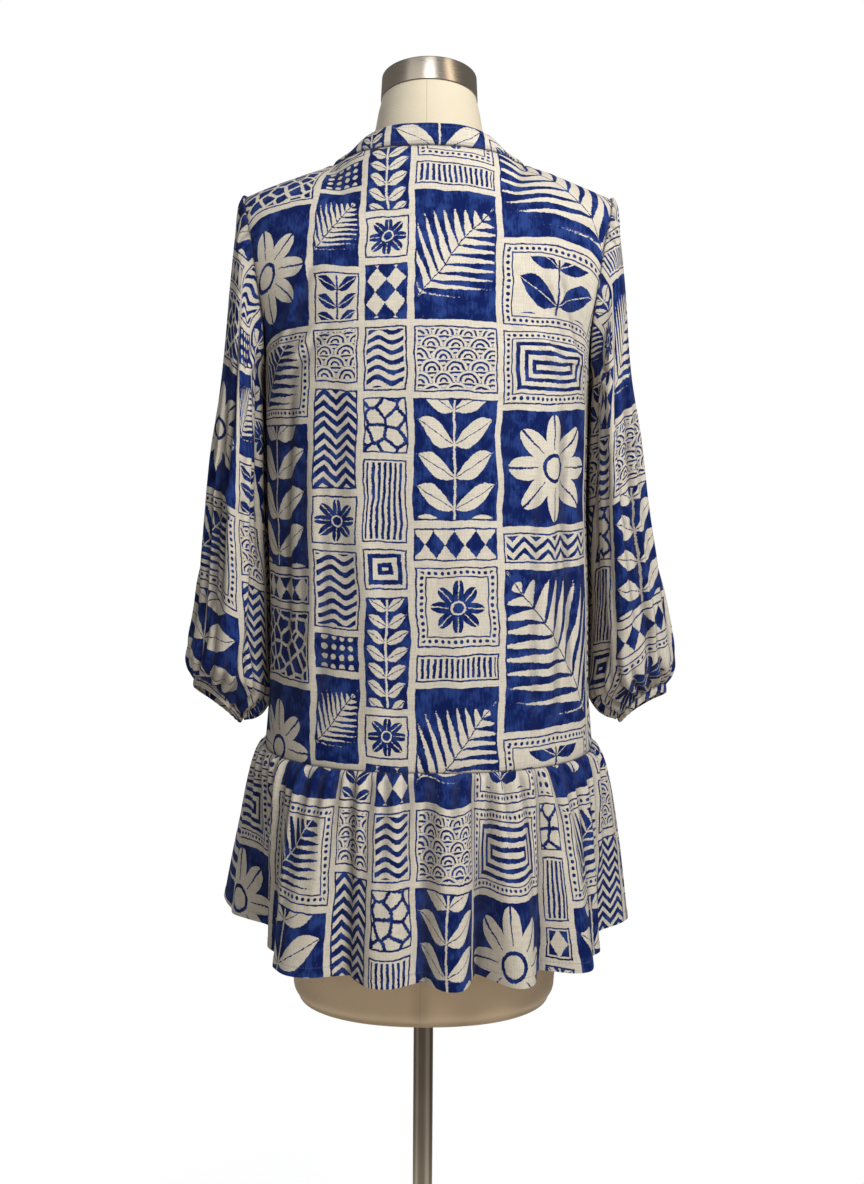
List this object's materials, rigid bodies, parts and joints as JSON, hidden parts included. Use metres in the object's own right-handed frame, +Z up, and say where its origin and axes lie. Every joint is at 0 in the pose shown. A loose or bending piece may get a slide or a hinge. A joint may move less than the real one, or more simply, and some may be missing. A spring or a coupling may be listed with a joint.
{
  "type": "long sleeve dress on a limbless dress form",
  "caption": "Loose long sleeve dress with a banded V neck, gathered cuffs and a gathered hem flounce, on a limbless dress form with a metal neck cap, a pole and a round base.",
  "frame": {"origin": "centre of the base plate's underside, on the floor", "axes": "+Z up along the pole; the dress's front faces -Y and its back faces +Y; the wearer's left is +X"},
  "size_m": [0.5446, 0.4022, 1.5562],
  "materials": {
    "printed_cloth": "matte fine weave, printed in blue and cream",
    "form_cover": "matte cream jersey",
    "cap_steel": "brushed",
    "pole_steel": "satin",
    "base_paint": "satin paint"
  },
  "bodies": {
    "root": {"form_torso": "form_cover", "neck_cap": "cap_steel", "pole": "pole_steel", "base_plate": "base_paint", "back_panel": "printed_cloth", "front_panel": "printed_cloth", "neckband": "printed_cloth", "sleeve_left": "printed_cloth", "sleeve_right": "printed_cloth", "cuff_left": "printed_cloth", "cuff_right": "printed_cloth", "flounce_back": "printed_cloth", "flounce_front": "printed_cloth"}
  },
  "joints": []
}
